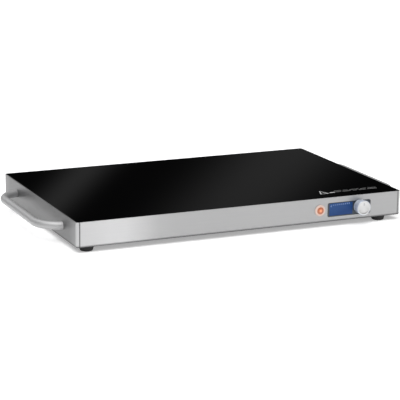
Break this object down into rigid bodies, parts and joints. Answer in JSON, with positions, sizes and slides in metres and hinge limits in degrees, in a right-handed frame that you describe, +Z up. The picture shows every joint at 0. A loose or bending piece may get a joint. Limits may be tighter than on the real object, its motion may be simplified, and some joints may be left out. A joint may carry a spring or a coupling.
{
  "type": "hot plate burner",
  "caption": "Low glass-topped electric warming plate in a steel tray with a bar handle at each end, a rotary temperature knob and an indicator lamp on the front.",
  "frame": {"origin": "on the table plane, at the middle of the whole outline, so midway between the handle ends and midway between the knob face and the inlet flange", "axes": "+X to the right along the front, +Y to the back, +Z up; the controls face -Y"},
  "size_m": [0.636, 0.3684, 0.048],
  "materials": {
    "ceramic_glass": "polished black glass ceramic",
    "silicone_black": "matte black silicone",
    "panel_steel": "fine horizontal brushing",
    "handle_steel": "satin round bar",
    "zinc_steel": "plain zinc-plated sheet",
    "cover_steel": "black painted sheet",
    "foot_rubber": "matte black rubber",
    "screw_steel": "zinc-plated",
    "plate_plastic": "satin dark grey",
    "film_blue": "semi-gloss printed film",
    "knob_metal": "turned satin aluminium",
    "pointer_black": "matte black fill",
    "insert_plastic": "moulded black",
    "spring_steel": "bright spring steel",
    "brass": "plain brass",
    "ceramic_white": "unglazed steatite",
    "bezel_plastic": "bright ring",
    "lens_orange": "translucent orange",
    "lamp_glass": "clear glass bulb",
    "mica": "mica sheet",
    "element_alloy": "resistance foil",
    "wool": "ceramic fibre felt",
    "inlet_plastic": "black moulded",
    "wire_red": "silicone insulation",
    "wire_blue": "silicone insulation",
    "wire_green": "silicone insulation",
    "wire_white": "silicone insulation"
  },
  "bodies": {
    "tray": {"glass_top": "ceramic_glass", "glass_seal": "silicone_black", "front_panel": "panel_steel", "back_panel": "panel_steel", "left_end_panel": "panel_steel", "right_end_panel": "panel_steel", "corner_angle_front_left": "zinc_steel", "corner_angle_front_right": "zinc_steel", "corner_angle_back_left": "zinc_steel", "corner_angle_back_right": "zinc_steel", "glass_rail_front": "zinc_steel", "glass_rail_back": "zinc_steel", "glass_rail_left": "zinc_steel", "glass_rail_right": "zinc_steel", "base_cover": "cover_steel", "foot_front_left": "foot_rubber", "foot_front_right": "foot_rubber", "foot_back_left": "foot_rubber", "foot_back_right": "foot_rubber", "foot_screws": "screw_steel", "left_handle": "handle_steel", "right_handle": "handle_steel", "handle_washers": "screw_steel", "handle_screws": "screw_steel", "control_plate": "plate_plastic", "panel_film": "film_blue", "thermostat_bush": "brass", "bush_nut": "brass", "thermostat_frame": "zinc_steel", "thermostat_base": "ceramic_white", "bimetal_strip": "spring_steel", "thermostat_tabs": "brass", "indicator_bezel": "bezel_plastic", "indicator_lens": "lens_orange", "neon_lamp": "lamp_glass", "lamp_clip": "spring_steel", "mica_upper": "mica", "heater_element": "element_alloy", "mica_lower": "mica", "insulation_mat": "wool", "tray_plate": "zinc_steel", "cross_bracket_front": "zinc_steel", "cross_bracket_back": "zinc_steel", "bracket_screws": "screw_steel", "appliance_inlet": "inlet_plastic", "inlet_pins": "brass", "inlet_screws": "screw_steel", "thermal_fuse": "brass", "earth_stud": "screw_steel", "live_wires": "wire_red", "neutral_wire": "wire_blue", "earth_wire": "wire_green", "lamp_leads": "wire_white"},
    "knob": {"control_knob": "knob_metal", "knob_pointer": "pointer_black", "knob_insert": "insert_plastic", "knob_clip": "spring_steel", "thermostat_shaft": "brass"},
    "pin": {"adjusting_pin": "ceramic_white"},
    "arm": {"contact_arm": "spring_steel"}
  },
  "joints": [
    {"name": "knob_turn", "type": "hinge", "parent": "tray", "child": "knob", "pos_m": [0.2034, -0.16825, 0.0296], "axis": [0, 1, 0], "range_deg": [0, 270]},
    {"name": "pin_travel", "type": "slide", "parent": "tray", "child": "pin", "axis": [0, 1, 0], "range_m": [0, 0.0006]},
    {"name": "arm_flex", "type": "hinge", "parent": "tray", "child": "arm", "pos_m": [0.19165, -0.14145, 0.0296], "axis": [0, 0, 1], "range_deg": [0, 3]}
  ],
  "couplings": [
    {"joint": "pin_travel", "follows": "knob_turn", "m_per_rad": 0.000127},
    {"joint": "arm_flex", "follows": "knob_turn", "ratio": 0.0108}
  ]
}
